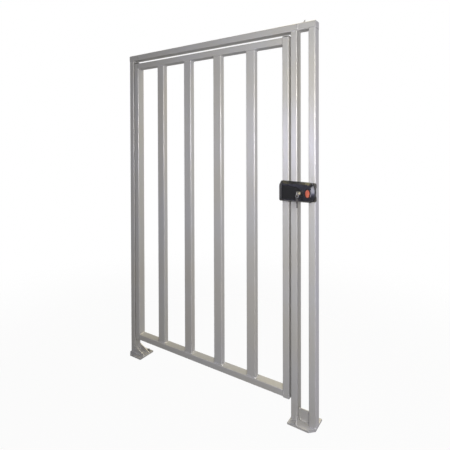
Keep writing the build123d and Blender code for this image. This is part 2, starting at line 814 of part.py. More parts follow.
def spare_key():
    wire_v = ring_top_v() - 2 * ring_radius
    hole_v = wire_v - key_hole_radius + ring_wire + spare_clearance
    bow_end = key_end_margin
    tip = bow_end - spare_length
    blade_start = bow_end - spare_bow_length - key_shoulder
    profile = cut_bitting(key_profile(tip, blade_start, bow_end, spare_bow), tip)
    flat = extrude(profile, key_thick / 2, both=True)
    # blade direction to -v, then the flat side turned about v
    hung = Rot(0, spare_turn, 0) * Rot(0, 0, 90) * flat
    return on_lock(Pos(cylinder_u, hole_v, key_hole_w) * hung)


# ---- every node and its shape ----
nodes = {
    "hinge_post": post(0),
    "latch_post": post(latch_post_x),
    "outer_post": post(outer_post_x),
    "header_stub": header_stub(),
    "header_beam": header_beam(),
    "header_end": header_end(),
    "header_lug": header_lug(),
    "header_end_plates": header_end_plates(),
    "hinge_base_plate": hinge_base_plate(),
    "latch_base_plate": latch_base_plate(),
    "hinge_gussets": hinge_gussets(),
    "post_web": post_web(),
    "latch_fin": latch_fin(),
    "hinge_lower_knuckles": hinge_lower_knuckles(),
    "hinge_pins": hinge_pins(),
    "hinge_washers": hinge_washers(),
    "hinge_upper_knuckles": hinge_upper_knuckles(),
    "hinge_stile": upright(hinge_stile_x, stile_foot, stile_height),
    "latch_stile": upright(latch_stile_x, stile_foot, stile_height),
    "bottom_rail": leaf_rail(stile_foot),
    "top_rail": leaf_rail(stile_foot + stile_height - tube_narrow),
    "upper_stile_caps": upper_stile_caps(),
    "lower_stile_caps": lower_stile_caps(),
    "lock_keeper": lock_keeper(),
    "lock_plate": lock_plate(),
    "lock_case": lock_case(),
    "lock_panel": lock_panel(),
    "lock_trim": lock_trim(),
    "cylinder_body": cylinder_body(),
    "cylinder_rose": cylinder_rose(),
    "bolt_guide": bolt_guide(),
    "button_bezel": button_bezel(),
    "button_switch": button_switch(),
    "solenoid_frame": solenoid_frame(),
    "solenoid_coil": solenoid_coil(),
    "solenoid_core": solenoid_core(),
    "lock_bolt": lock_bolt(),
    "lock_plug": lock_plug(),
    "drive_pinion": drive_pinion(),
    "lock_key": lock_key(),
    "key_ring": key_ring(),
    "spare_key": spare_key(),
    "push_button": push_button(),
}
for number, centre_x in enumerate(bar_centres(), start=1):
    nodes[f"leaf_bar_{number}"] = leaf_bar(centre_x)

os.makedirs("parts", exist_ok=True)
for name, shape in nodes.items():
    export_step(shape, f"parts/{name}.step")
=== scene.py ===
import json
from math import cos, pi, radians, sin

import bmesh
import bpy
from mathutils import Matrix, Vector


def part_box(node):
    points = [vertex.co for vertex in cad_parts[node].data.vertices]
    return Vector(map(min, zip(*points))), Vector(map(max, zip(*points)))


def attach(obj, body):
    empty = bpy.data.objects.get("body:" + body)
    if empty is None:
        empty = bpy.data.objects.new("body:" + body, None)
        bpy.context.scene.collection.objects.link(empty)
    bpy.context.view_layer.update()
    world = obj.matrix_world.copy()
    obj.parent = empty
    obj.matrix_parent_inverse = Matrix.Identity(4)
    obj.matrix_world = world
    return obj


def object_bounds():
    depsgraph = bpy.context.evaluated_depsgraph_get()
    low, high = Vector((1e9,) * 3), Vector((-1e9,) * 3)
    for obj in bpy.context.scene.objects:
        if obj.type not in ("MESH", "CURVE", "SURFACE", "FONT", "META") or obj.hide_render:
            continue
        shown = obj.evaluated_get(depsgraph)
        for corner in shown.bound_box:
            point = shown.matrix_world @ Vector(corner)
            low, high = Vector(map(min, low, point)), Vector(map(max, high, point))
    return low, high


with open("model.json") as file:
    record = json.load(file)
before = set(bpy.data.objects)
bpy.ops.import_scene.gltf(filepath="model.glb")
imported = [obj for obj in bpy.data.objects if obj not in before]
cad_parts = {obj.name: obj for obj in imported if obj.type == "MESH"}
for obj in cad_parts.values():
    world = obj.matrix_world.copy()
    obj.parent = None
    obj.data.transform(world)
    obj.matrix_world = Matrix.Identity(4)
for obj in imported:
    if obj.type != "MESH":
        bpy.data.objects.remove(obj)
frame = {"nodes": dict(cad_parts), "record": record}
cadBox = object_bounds()
cad = frame["nodes"]
mm = 0.001
print("frame loaded:", len(cad), "nodes")


# small helpers
def hexColor(text):
    # sRGB hex to linear, with alpha 1
    parts = [int(text[i:i + 2], 16) / 255 for i in (1, 3, 5)]
    return [p / 12.92 if p <= 0.04045 else ((p + 0.055) / 1.055) ** 2.4 for p in parts] + [1]


def addNode(tree, kind, settings=None, links=None):
    # a setting is a socket's name or number, a property of the node or the stops of a colour ramp,
    # and a link comes from an output or from a node's first output
    node = tree.nodes.new(kind)
    for key, value in (settings or {}).items():
        if key == "stops":
            elements = node.color_ramp.elements
            while len(elements) < len(value):
                elements.new(0.5)
            for element, (position, color) in zip(elements, value):
                element.position = position
                element.color = hexColor(color)
        elif isinstance(key, str) and hasattr(node, key):
            setattr(node, key, value)
        else:
            node.inputs[key].default_value = value
    for key, source in (links or {}).items():
        tree.links.new(source.outputs[0] if hasattr(source, "outputs") else source, node.inputs[key])
    return node


def perMetre(sizeMm):
    # texture scale that makes one feature this many millimetres wide
    return 1 / (sizeMm * mm)


def newMaterial(name):
    material = bpy.data.materials.new(name)
    material.use_nodes = True
    tree = material.node_tree
    tree.nodes.clear()
    return material, tree, addNode(tree, "ShaderNodeTexCoord").outputs["Object"]


def addSurface(tree, settings, tone, relief, rough=None):
    # a pattern of roughness, where there is one, takes the place of the plain value
    links = {"Base Color": tone, "Normal": relief}
    if rough:
        links["Roughness"] = rough
    shader = addNode(tree, "ShaderNodeBsdfPrincipled", settings, links)
    addNode(tree, "ShaderNodeOutputMaterial", None, {"Surface": shader})


# materials
# Silver polyester powder coat, sprayed and baked on welded steel tube:
# an even satin grey with a soft orange peel and a faint metallic glitter, whose flake glints are painted into
# the colour
powderCoat = {
    "warm": "#aeaca8", "tone": "#aeadac", "cool": "#aeaeb0", "driftMm": 420,
    "flakeMm": 1.6, "flakeGlintDim": "#f7f7f7", "flakeGlintBright": "#ffffff",
    "peelMm": 4, "peelDepthMm": 0.05, "smoothest": 0.3, "roughest": 0.44, "lacquer": 0.25,
}


def silverPowderCoat(name, gloss=0.0):
    # gloss is how much smoother the coat has flowed than on plain tube
    material, tree, where = newMaterial(name)
    drift = addNode(tree, "ShaderNodeTexNoise", {"Scale": perMetre(powderCoat["driftMm"])}, {"Vector": where})
    hues = [(0.35, powderCoat["warm"]), (0.5, powderCoat["tone"]), (0.65, powderCoat["cool"])]
    hue = addNode(tree, "ShaderNodeValToRGB", {"stops": hues}, {"Fac": drift})
    # flakes are far finer, and are drawn this coarse so that they show at all
    fine = {"Scale": perMetre(powderCoat["flakeMm"]), "Detail": 1}
    flake = addNode(tree, "ShaderNodeTexNoise", fine, {"Vector": where})
    # painted glints: the flakes show as brighter and dimmer specks in the base colour, standing for light
    # caught by metal flakes
    shades = [(0.3, powderCoat["flakeGlintDim"]), (0.7, powderCoat["flakeGlintBright"])]
    paintedFlakeGlints = addNode(tree, "ShaderNodeValToRGB", {"stops": shades}, {"Fac": flake})
    blend = {"data_type": "RGBA", "blend_type": "MULTIPLY", 0: 1.0}
    tone = addNode(tree, "ShaderNodeMix", blend, {6: hue, 7: paintedFlakeGlints}).outputs[2]
    span = {"To Min": powderCoat["smoothest"] - gloss, "To Max": powderCoat["roughest"] - gloss}
    rough = addNode(tree, "ShaderNodeMapRange", span, {"Value": flake})
    peel = addNode(tree, "ShaderNodeTexNoise", {"Scale": perMetre(powderCoat["peelMm"])}, {"Vector": where})
    depth = {"Distance": powderCoat["peelDepthMm"] * mm, "Strength": 0.6}
    relief = addNode(tree, "ShaderNodeBump", depth, {"Height": peel})
    settings = {"Metallic": 0.22, "Roughness": 0.42, "Coat Weight": 0.4,
                "Coat Roughness": powderCoat["lacquer"] - gloss}
    addSurface(tree, settings, tone, relief, rough)
    return material


coatedTube = silverPowderCoat("silver_powder_coat_on_tube")
coatedWeld = silverPowderCoat("silver_powder_coat_on_weld", 0.17)


# Low-density polyethylene, injection moulded: dull near-black with a waxy sheen
def mouldedPolyethylene():
    material, tree, where = newMaterial("moulded_black_polyethylene")
    grain = addNode(tree, "ShaderNodeTexNoise", {"Scale": perMetre(2), "Detail": 4}, {"Vector": where})
    stops = [(0.3, "#1d1d1e"), (0.7, "#2a2a2c")]
    tone = addNode(tree, "ShaderNodeValToRGB", {"stops": stops}, {"Fac": grain})
    relief = addNode(tree, "ShaderNodeBump", {"Distance": 0.05 * mm, "Strength": 0.5}, {"Height": grain})
    addSurface(tree, {"Roughness": 0.5, "IOR": 1.51}, tone, relief)
    return material


# ABS, injection moulded in a polished tool: deep blue-black gloss, faintly hazed and rippled
def polishedAbs():
    material, tree, where = newMaterial("polished_moulded_abs")
    haze = addNode(tree, "ShaderNodeTexNoise", {"Scale": perMetre(30), "Detail": 3}, {"Vector": where})
    stops = [(0.3, "#0c0c11"), (0.7, "#15141c")]
    tone = addNode(tree, "ShaderNodeValToRGB", {"stops": stops}, {"Fac": haze})
    scuffs = addNode(tree, "ShaderNodeTexNoise", {"Scale": perMetre(6), "Detail": 5}, {"Vector": where})
    rough = addNode(tree, "ShaderNodeMapRange", {"To Min": 0.16, "To Max": 0.3}, {"Value": scuffs})
    ripple = addNode(tree, "ShaderNodeTexNoise", {"Scale": perMetre(12)}, {"Vector": where})
    relief = addNode(tree, "ShaderNodeBump", {"Distance": 0.03 * mm, "Strength": 0.3}, {"Height": ripple})
    addSurface(tree, {"Roughness": 0.2, "IOR": 1.54}, tone, relief, rough)
    return material


# ABS, moulded in a spark-eroded tool: flat black with a fine even grain
def sparkErodedAbs():
    material, tree, where = newMaterial("spark_eroded_abs")
    # the real grain is about 0.3 mm, drawn coarser so that it shows
    grain = addNode(tree, "ShaderNodeTexNoise", {"Scale": perMetre(0.9), "Detail": 3}, {"Vector": where})
    stops = [(0.3, "#101010"), (0.7, "#181819")]
    tone = addNode(tree, "ShaderNodeValToRGB", {"stops": stops}, {"Fac": grain})
    relief = addNode(tree, "ShaderNodeBump", {"Distance": 0.08 * mm, "Strength": 0.7}, {"Height": grain})
    addSurface(tree, {"Roughness": 0.47, "IOR": 1.54, "Specular IOR Level": 0.2}, tone, relief)
    return material


# Cold-rolled steel sheet, black electrophoretic paint: smooth dark satin
def blackPaintedSheet():
    material, tree, where = newMaterial("black_painted_sheet_steel")
    haze = addNode(tree, "ShaderNodeTexNoise", {"Scale": perMetre(15), "Detail": 3}, {"Vector": where})
    stops = [(0.3, "#33302d"), (0.7, "#45423e")]
    tone = addNode(tree, "ShaderNodeValToRGB", {"stops": stops}, {"Fac": haze})
    ripple = addNode(tree, "ShaderNodeTexNoise", {"Scale": perMetre(3)}, {"Vector": where})
    relief = addNode(tree, "ShaderNodeBump", {"Distance": 0.04 * mm, "Strength": 0.4}, {"Height": ripple})
    addSurface(tree, {"Roughness": 0.38, "IOR": 1.5}, tone, relief)
    return material


# Steel, bright zinc plate: pale metal with cloudy spangle
def zincPlate():
    material, tree, where = newMaterial("bright_zinc_plated_steel")
    cloud = addNode(tree, "ShaderNodeTexNoise", {"Scale": perMetre(9), "Detail": 4}, {"Vector": where})
    stops = [(0.3, "#a3a6aa"), (0.7, "#c2c4c4")]
    tone = addNode(tree, "ShaderNodeValToRGB", {"stops": stops}, {"Fac": cloud})
    rough = addNode(tree, "ShaderNodeMapRange", {"To Min": 0.24, "To Max": 0.42}, {"Value": cloud})
    grain = addNode(tree, "ShaderNodeTexNoise", {"Scale": perMetre(1)}, {"Vector": where})
    relief = addNode(tree, "ShaderNodeBump", {"Distance": 0.02 * mm, "Strength": 0.4}, {"Height": grain})
    addSurface(tree, {"Metallic": 1.0, "Roughness": 0.32}, tone, relief, rough)
    return material


# Brass, turned or milled and nickel plated: warm silver, finely grained and patchily worn
def nickelPlate():
    material, tree, where = newMaterial("nickel_plated_brass")
    patches = {"Scale": perMetre(5), "Detail": 5, "Roughness": 0.65}
    wear = addNode(tree, "ShaderNodeTexNoise", patches, {"Vector": where})
    stops = [(0.25, "#8e8a80"), (0.6, "#c9c4b8")]
    tone = addNode(tree, "ShaderNodeValToRGB", {"stops": stops}, {"Fac": wear})
    rough = addNode(tree, "ShaderNodeMapRange", {"To Min": 0.2, "To Max": 0.45}, {"Value": wear})
    grain = addNode(tree, "ShaderNodeTexNoise", {"Scale": perMetre(0.7)}, {"Vector": where})
    relief = addNode(tree, "ShaderNodeBump", {"Distance": 0.02 * mm, "Strength": 0.5}, {"Height": grain})
    addSurface(tree, {"Metallic": 1.0, "Roughness": 0.28}, tone, relief, rough)
    return material


# Brass key blank, nickel plated and worn by pockets: a dull grey darkened as a painted dark reflection of the
# shaded surroundings it mirrors, with brighter worn patches
def wornNickelWithPaintedDarkReflection():
    material, tree, where = newMaterial("nickel_on_brass_worn_with_painted_dark_reflection")
    patches = {"Scale": perMetre(7), "Detail": 5, "Roughness": 0.6}
    wear = addNode(tree, "ShaderNodeTexNoise", patches, {"Vector": where})
    # painted dark reflection: both stops are darker than bare nickel, for the dark surroundings that the
    # hanging key mirrors
    stops = [(0.3, "#3e3c39"), (0.75, "#696660")]
    tone = addNode(tree, "ShaderNodeValToRGB", {"stops": stops}, {"Fac": wear})
    rough = addNode(tree, "ShaderNodeMapRange", {"To Min": 0.3, "To Max": 0.5}, {"Value": wear})
    grain = addNode(tree, "ShaderNodeTexNoise", {"Scale": perMetre(0.7)}, {"Vector": where})
    relief = addNode(tree, "ShaderNodeBump", {"Distance": 0.02 * mm, "Strength": 0.5}, {"Height": grain})
    addSurface(tree, {"Metallic": 1.0, "Roughness": 0.4}, tone, relief, rough)
    return material


# Free-cutting brass, turned: warm yellow metal
def turnedBrass():
    material, tree, where = newMaterial("turned_brass")
    tarnish = addNode(tree, "ShaderNodeTexNoise", {"Scale": perMetre(6), "Detail": 4}, {"Vector": where})
    stops = [(0.3, "#8a7138"), (0.7, "#c8ab5f")]
    tone = addNode(tree, "ShaderNodeValToRGB", {"stops": stops}, {"Fac": tarnish})
    grain = addNode(tree, "ShaderNodeTexNoise", {"Scale": perMetre(0.8), "Detail": 1}, {"Vector": where})
    relief = addNode(tree, "ShaderNodeBump", {"Distance": 0.02 * mm, "Strength": 0.4}, {"Height": grain})
    addSurface(tree, {"Metallic": 1.0, "Roughness": 0.3}, tone, relief)
    return material


# ABS, moulded in orange-red: smooth satin with soft depth of colour
def orangeRedAbs():
    material, tree, where = newMaterial("orange_red_moulded_abs")
    cloud = addNode(tree, "ShaderNodeTexNoise", {"Scale": perMetre(14), "Detail": 3}, {"Vector": where})
    stops = [(0.3, "#96442f"), (0.7, "#a5533c")]
    tone = addNode(tree, "ShaderNodeValToRGB", {"stops": stops}, {"Fac": cloud})
    grain = addNode(tree, "ShaderNodeTexNoise", {"Scale": perMetre(1.2)}, {"Vector": where})
    relief = addNode(tree, "ShaderNodeBump", {"Distance": 0.02 * mm, "Strength": 0.4}, {"Height": grain})
    settings = {"Roughness": 0.35, "IOR": 1.54, "Subsurface Weight": 0.08, "Subsurface Scale": 2 * mm}
    addSurface(tree, settings, tone, relief)
    return material


# ABS, moulded in a pale satin grey: the rib beside the button, whose paleness is a painted highlight for the
# soft arc of light along the case's moulded step
def paleRibPaintedHighlight():
    material, tree, where = newMaterial("pale_abs_rib_painted_highlight")
    cloud = addNode(tree, "ShaderNodeTexNoise", {"Scale": perMetre(8), "Detail": 3}, {"Vector": where})
    # painted highlight: the pale grey stops stand for the soft light arc on the case
    stops = [(0.3, "#6f6e76"), (0.7, "#85848c")]
    tone = addNode(tree, "ShaderNodeValToRGB", {"stops": stops}, {"Fac": cloud})
    grain = addNode(tree, "ShaderNodeTexNoise", {"Scale": perMetre(1)}, {"Vector": where})
    relief = addNode(tree, "ShaderNodeBump", {"Distance": 0.02 * mm, "Strength": 0.4}, {"Height": grain})
    addSurface(tree, {"Roughness": 0.35, "Metallic": 0.3}, tone, relief)
    return material


# Enamelled copper wire wound on a bobbin under polyester tape: dull amber
def windingTape():
    material, tree, where = newMaterial("polyester_taped_winding")
    cloud = addNode(tree, "ShaderNodeTexNoise", {"Scale": perMetre(5), "Detail": 3}, {"Vector": where})
    stops = [(0.3, "#7a4a1c"), (0.7, "#96622c")]
    tone = addNode(tree, "ShaderNodeValToRGB", {"stops": stops}, {"Fac": cloud})
    bands = {"Scale": perMetre(20), "bands_direction": "X"}
    turns = addNode(tree, "ShaderNodeTexWave", bands, {"Vector": where}).outputs["Fac"]
    relief = addNode(tree, "ShaderNodeBump", {"Distance": 0.1 * mm, "Strength": 0.5}, {"Height": turns})
    addSurface(tree, {"Roughness": 0.4, "IOR": 1.57}, tone, relief)
    return material


finishes = {
    "painted_tube": coatedTube,
    "zinc_steel": zincPlate(),
    "brass": turnedBrass(),
    "nickel": nickelPlate(),
    "matte_black": sparkErodedAbs(),
    "gloss_case": polishedAbs(),
    "grey_trim": paleRibPaintedHighlight(),
    "coil_tape": windingTape(),
    "button_red": orangeRedAbs(),
}
capPlastic = mouldedPolyethylene()
sheetPaint = blackPaintedSheet()


def coat(piece, material):
    piece.data.materials.clear()
    piece.data.materials.append(material)


for part in frame["record"]["subparts"]:
    coat(cad[part["node"]], finishes[part["material_slot"]])
coat(cad["upper_stile_caps"], capPlastic)
coat(cad["lock_plate"], sheetPaint)
coat(cad["lock_plug"], finishes["nickel"])
coat(cad["spare_key"], wornNickelWithPaintedDarkReflection())
print("materials:", len(bpy.data.materials))


# weld beads
# metal-arc seams left as welded and coated over: convex, with the torch's close ripples (millimetres)
bead = {
    "leg": 4.6, "footLeg": 2.6, "smallLeg": 3.2, "swell": 0.55, "sink": 0.3,
    "seamWidth": 9, "seamRise": 0.9, "groove": 4.5, "sideSeamWidth": 6, "sideSeamRise": 0.5,
    "pitch": 3.3, "pointsPerRipple": 3, "rippleRise": 0.12, "rippleLag": 1.5, "taper": 4, "tipSize": 0.4,
    "arcSteps": 5, "tubeCorner": 5, "cornerSteps": 7,
}
axisX, axisY, axisZ = Vector((1, 0, 0)), Vector((0, 1, 0)), Vector((0, 0, 1))


def nodeBox(name):
    low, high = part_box(name)
    return low / mm, high / mm


def filletSection(leg):
    # (across, out) corners of a convex bead in an inside corner, its root sunk into both faces
    steps, swell, sink = bead["arcSteps"], bead["swell"], bead["sink"]
    face = []
    for step in range(steps + 1):
        share = step / steps
        turn = share * pi / 2
        face.append((leg * ((1 - swell) * (1 - share) + swell * cos(turn)),
                     leg * ((1 - swell) * share + swell * sin(turn))))
    return face, [(-sink, leg), (-sink, -sink), (leg, -sink)]


def seamSection(width=bead["seamWidth"], rise=bead["seamRise"], depth=bead["groove"]):
    # a low crowned bead over a flush joint, with a root that fills the groove below it
    steps = bead["arcSteps"] + 1
    face = [(width / 2 * cos(pi * step / steps), rise * sin(pi * step / steps)) for step in range(steps + 1)]
    return face, [(-width / 2, -bead["sink"]), (0, -depth), (width / 2, -bead["sink"])]


def straightRun(start, end, across, out):
    # evenly spaced points, each with the directions that the section's two sizes lie along
    start, end = Vector(start), Vector(end)
    count = max(2, round((end - start).length / bead["pitch"] * bead["pointsPerRipple"]))
    return [(start.lerp(end, step / count), Vector(across), Vector(out)) for step in range(count + 1)]


def outlineRun(middle, halfA, halfB, axisA, axisB, out, corners=(0, 1, 2, 3)):
    # walks round a tube's outer corners, and along the flat sides between them
    radius, steps = bead["tubeCorner"], bead["cornerSteps"]
    run = []
    for number in corners:
        signA, signB = ((1, 1), (-1, 1), (-1, -1), (1, -1))[number]
        centre = Vector(middle) + axisA * signA * (halfA - radius) + axisB * signB * (halfB - radius)
        if run:
            last, across = run[-1][0], run[-1][1]
            run += straightRun(last, centre + across * radius, across, out)[1:-1]
        for step in range(steps + 1):
            angle = (number + step / steps) * pi / 2
            across = axisA * cos(angle) + axisB * sin(angle)
            run.append((centre + across * radius, across, Vector(out)))
    if len(corners) == 4:
        last, across = run[-1][0], run[-1][1]
        run += straightRun(last, run[0][0], across, out)[1:-1]
    return run


def layBead(made, run, section, closed=False):
    # sweeps the section along the run, rippled, and tapered at both ends of an open run
    face, root = section
    rings = []
    for index, (point, across, out) in enumerate(run):
        ahead = run[(index + 1) % len(run)][0] if closed else run[min(index + 1, len(run) - 1)][0]
        behind = run[index - 1][0] if closed or index else point
        travel = (ahead - behind).normalized()
        size = 1 + bead["rippleRise"] * (1 - index % bead["pointsPerRipple"])
        if not closed:
            fromTip = min(index, len(run) - 1 - index) / bead["taper"]
            size *= min(1, bead["tipSize"] + (1 - bead["tipSize"]) * fromTip)
        ring = []
        for number, (acrossBy, outBy) in enumerate(face):
            lag = bead["rippleLag"] * sin(pi * number / (len(face) - 1))
            ring.append(made.verts.new(point + (across * acrossBy + out * outBy) * size + travel * lag))
        for acrossBy, outBy in root:
            reach = size if max(acrossBy, outBy) > 0 else 1
            ring.append(made.verts.new(point + across * acrossBy * reach + out * outBy * reach))
        rings.append(ring)
    pairs = list(zip(rings, rings[1:] + rings[:1])) if closed else list(zip(rings, rings[1:]))
    for near, far in pairs:
        for side in range(len(near)):
            following = (side + 1) % len(near)
            made.faces.new((near[side], near[following], far[following], far[side]))
        for toe in (0, len(face) - 1):
            made.edges.get((near[toe], far[toe])).smooth = False
    if not closed:
        made.faces.new(rings[0])
        made.faces.new(rings[-1])


def meshObject(name, made):
    mesh = bpy.data.meshes.new(name)
    made.to_mesh(mesh)
    made.free()
    thing = bpy.data.objects.new(name, mesh)
    bpy.context.scene.collection.objects.link(thing)
    return thing


def addPiece(name, body, made, material):
    # shapes are built in millimetres and end in metres
    bmesh.ops.scale(made, vec=(mm, mm, mm), verts=made.verts)
    piece = meshObject(name, made)
    coat(piece, material)
    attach(piece, body)


def weldPiece(name, body, made):
    bmesh.ops.recalc_face_normals(made, faces=made.faces)
    for faceMade in made.faces:
        faceMade.smooth = True
    addPiece(name, body, made, coatedWeld)


def weldRound(made, low, high, height, up, leg):
    # one bead all the way round an upright tube, where its end stands on something
    middle = Vector(((low.x + high.x) / 2, (low.y + high.y) / 2, height))
    run = outlineRun(middle, (high.x - low.x) / 2, (high.y - low.y) / 2, axisX, axisY, axisZ * up)
    layBead(made, run, filletSection(leg), closed=True)


def barWelds():
    made = bmesh.new()
    for name in sorted(cad):
        if name.startswith("leaf_bar_"):
            low, high = nodeBox(name)
            weldRound(made, low, high, low.z, 1, bead["leg"])
            weldRound(made, low, high, high.z, -1, bead["leg"])
    weldPiece("leaf_bar_welds", "leaf", made)


def railWelds():
    made = bmesh.new()
    inset = bead["tubeCorner"]
    for name, inner in (("bottom_rail", 1), ("top_rail", -1)):
        low, high = nodeBox(name)
        foot, head = low.z + inset / 2, high.z - inset / 2
        innerHeight = high.z if inner > 0 else low.z
        for endX, inward in ((low.x, 1), (high.x, -1)):
            seamX = endX - inward * inset / 2
            for faceY, out in ((low.y, -1), (high.y, 1)):
                run = straightRun((seamX, faceY, foot), (seamX, faceY, head), axisX, axisY * out)
                layBead(made, run, seamSection())
            near, far = (endX, low.y + inset, innerHeight), (endX, high.y - inset, innerHeight)
            layBead(made, straightRun(near, far, axisX * inward, axisZ * inner), filletSection(bead["leg"]))
    weldPiece("rail_corner_welds", "leaf", made)


def turnedSection(section):
    # swaps the two directions, for a run whose across is the face's normal
    return tuple([(out, across) for across, out in part] for part in section)


def saddleRun(low, high, seamX):
    # down the front face, round the underside and up the rear face of the header
    middle = Vector((seamX, (low.y + high.y) / 2, (low.z + high.z) / 2))
    half = (high - low) / 2
    under = outlineRun(middle, half.z, half.y, -axisZ, axisY, axisX, corners=(3, 0))
    rise = axisZ * 2 * (half.z - bead["tubeCorner"])
    down = straightRun(under[0][0] + rise, under[0][0], under[0][1], axisX)
    up = straightRun(under[-1][0], under[-1][0] + rise, under[-1][1], axisX)
    return down[:-1] + under + up[1:]


# how far the lug's foot runs along the header, in millimetres
lug = {"foot": 8}


def headerWelds():
    made = bmesh.new()
    inset = bead["tubeCorner"]
    fillet = filletSection(bead["leg"])
    sideSeam = seamSection(bead["sideSeamWidth"], bead["sideSeamRise"], bead["sideSeamRise"])
    low, high = nodeBox("header_beam")
    under = low.z
    crown = turnedSection(seamSection(depth=bead["sink"]))
    for seamX in (low.x, high.x):
        layBead(made, saddleRun(low, high, seamX), crown)
    # a post's side under open header gets a fillet, and a side flush with the header's end a seam
    for name, openSides in (("hinge_post", (1,)), ("latch_post", (-1, 1)), ("outer_post", (-1,))):
        low, high = nodeBox(name)
        level = under + inset / 2
        for faceY, out in ((low.y, -1), (high.y, 1)):
            left, right = (low.x + inset, faceY, level), (high.x - inset, faceY, level)
            layBead(made, straightRun(left, right, axisZ, axisY * out), seamSection())
        for edge, side in ((low.x, -1), (high.x, 1)):
            near, far = (edge, low.y + inset, under), (edge, high.y - inset, under)
            if side in openSides:
                layBead(made, straightRun(near, far, axisX * side, -axisZ), fillet)
            else:
                layBead(made, straightRun(near, far, axisZ, axisX * side), sideSeam)
    low, high = nodeBox("header_lug")
    for faceY, out in ((low.y, -1), (high.y, 1)):
        run = straightRun((low.x, faceY, low.z), (low.x + lug["foot"], faceY, low.z), axisY * out, axisZ)
        layBead(made, run, filletSection(bead["smallLeg"]))
    weldPiece("header_welds", "portal", made)


def footWelds():
    made = bmesh.new()
    for name in ("hinge_post", "latch_post", "outer_post"):
        low, high = nodeBox(name)
        weldRound(made, low, high, low.z, 1, bead["footLeg"])
    weldPiece("post_foot_welds", "portal", made)


def plateWelds(made, low, high, flushSide=0):
    # both faces of an upright stiffener: along its foot, and up the post that it leans on or is flush with
    fillet = filletSection(bead["leg"])
    for faceY, side in ((low.y, -1), (high.y, 1)):
        face = axisY * side
        heel, toe, head = (low.x, faceY, low.z), (high.x, faceY, low.z), (low.x, faceY, high.z)
        layBead(made, straightRun(heel, toe, face, axisZ), fillet)
        if side == flushSide:
            layBead(made, straightRun(heel, head, axisX, face), seamSection())
        else:
            layBead(made, straightRun(heel, head, face, axisX), fillet)


def gussetWelds(thick):
    made = bmesh.new()
    low, high = nodeBox("hinge_gussets")
    for nearY, flushSide in ((low.y, -1), (high.y - thick, 1)):
        farY = nearY + thick
        plateWelds(made, Vector((low.x, nearY, low.z)), Vector((high.x, farY, high.z)), flushSide)
        run = straightRun((high.x, nearY, low.z), (high.x, farY, low.z), axisX, axisZ)
        layBead(made, run, filletSection(bead["leg"]))
    weldPiece("gusset_welds", "portal", made)


def webWelds(low, high):
    made = bmesh.new()
    plateWelds(made, low, high)
    for faceY, side in ((low.y, -1), (high.y, 1)):
        run = straightRun((high.x, faceY, low.z), (high.x, faceY, high.z), axisY * side, -axisX)
        layBead(made, run, filletSection(bead["leg"]))
    weldPiece("latch_side_welds", "portal", made)


# the fin beside the latch post's foot: degrees off square, and its plate's sizes in millimetres
fin = {"splay": 22, "thick": 6, "run": 37}


def finWelds():
    # the fin stands askew, so its beads follow its own direction
    made = bmesh.new()
    low, high = nodeBox("latch_fin")
    splay = radians(fin["splay"])
    ahead, face = Vector((sin(splay), -cos(splay), 0)), Vector((cos(splay), sin(splay), 0))
    inner = Vector((low.x, high.y, low.z))
    outer = inner + axisX * fin["thick"] / cos(splay)
    section = filletSection(bead["smallLeg"])
    innerToe = inner + ahead * fin["run"]
    outerToe = innerToe + face * fin["thick"]
    for root, toe, side in ((inner, innerToe, -1), (outer, outerToe, 1)):
        layBead(made, straightRun(root, toe, face * side, axisZ), section)
        layBead(made, straightRun(root, root + axisZ * (high.z - low.z), axisX * side, -axisY), section)
    layBead(made, straightRun(innerToe, outerToe, ahead, axisZ), section)
    weldPiece("fin_welds", "portal", made)


# the washers give the heights, and each knuckle's wing stands clear of its washer (millimetres)
hinge = {"count": 3, "washerThick": 2, "wingHeight": 50, "wingFoot": 2, "wingStart": 8}


def hingeWelds(name, body, node, side):
    # round the three free edges of each knuckle's wing
    made = bmesh.new()
    section = filletSection(bead["smallLeg"])
    low, high = nodeBox(node)
    washerLow, washerHigh = nodeBox("hinge_washers")
    pinLow, pinHigh = nodeBox("hinge_pins")
    start = (pinLow.x + pinHigh.x) / 2 + side * hinge["wingStart"]
    edge = high.x if side > 0 else low.x
    spacing = (washerHigh.z - washerLow.z - hinge["washerThick"]) / (hinge["count"] - 1)
    for step in range(hinge["count"]):
        middle = washerLow.z + hinge["washerThick"] / 2 + step * spacing
        foot = middle + hinge["wingFoot"] if side > 0 else middle - hinge["wingFoot"] - hinge["wingHeight"]
        top = foot + hinge["wingHeight"]
        for height, out in ((foot, -1), (top, 1)):
            run = straightRun((start, low.y, height), (edge, low.y, height), axisZ * out, axisY)
            layBead(made, run, section)
        layBead(made, straightRun((edge, low.y, foot), (edge, low.y, top), axisX * side, axisY), section)
    weldPiece(name, body, made)


barWelds()
railWelds()
headerWelds()
footWelds()
# the gussets are cut from the same plate as the web
webLow, webHigh = nodeBox("post_web")
gussetWelds(webHigh.y - webLow.y)
webWelds(webLow, webHigh)
finWelds()
hingeWelds("post_hinge_welds", "portal", "hinge_lower_knuckles", -1)
hingeWelds("leaf_hinge_welds", "leaf", "hinge_upper_knuckles", 1)
print("weld beads laid")


# anchor bolts
# Steel, hot-dip galvanised and weathered: dull mid grey, patchy
def weatheredZinc():
    material, tree, where = newMaterial("weathered_galvanised_steel")
    patches = {"Scale": perMetre(4), "Detail": 5, "Roughness": 0.6}
    wear = addNode(tree, "ShaderNodeTexNoise", patches, {"Vector": where})
    stops = [(0.3, "#5e5d5a"), (0.7, "#8a8986")]
    tone = addNode(tree, "ShaderNodeValToRGB", {"stops": stops}, {"Fac": wear})
    rough = addNode(tree, "ShaderNodeMapRange", {"To Min": 0.4, "To Max": 0.65}, {"Value": wear})
    grain = addNode(tree, "ShaderNodeTexNoise", {"Scale": perMetre(1)}, {"Vector": where})
    relief = addNode(tree, "ShaderNodeBump", {"Distance": 0.03 * mm, "Strength": 0.5}, {"Height": grain})
    addSurface(tree, {"Metallic": 0.6, "Roughness": 0.5}, tone, relief, rough)
    return material


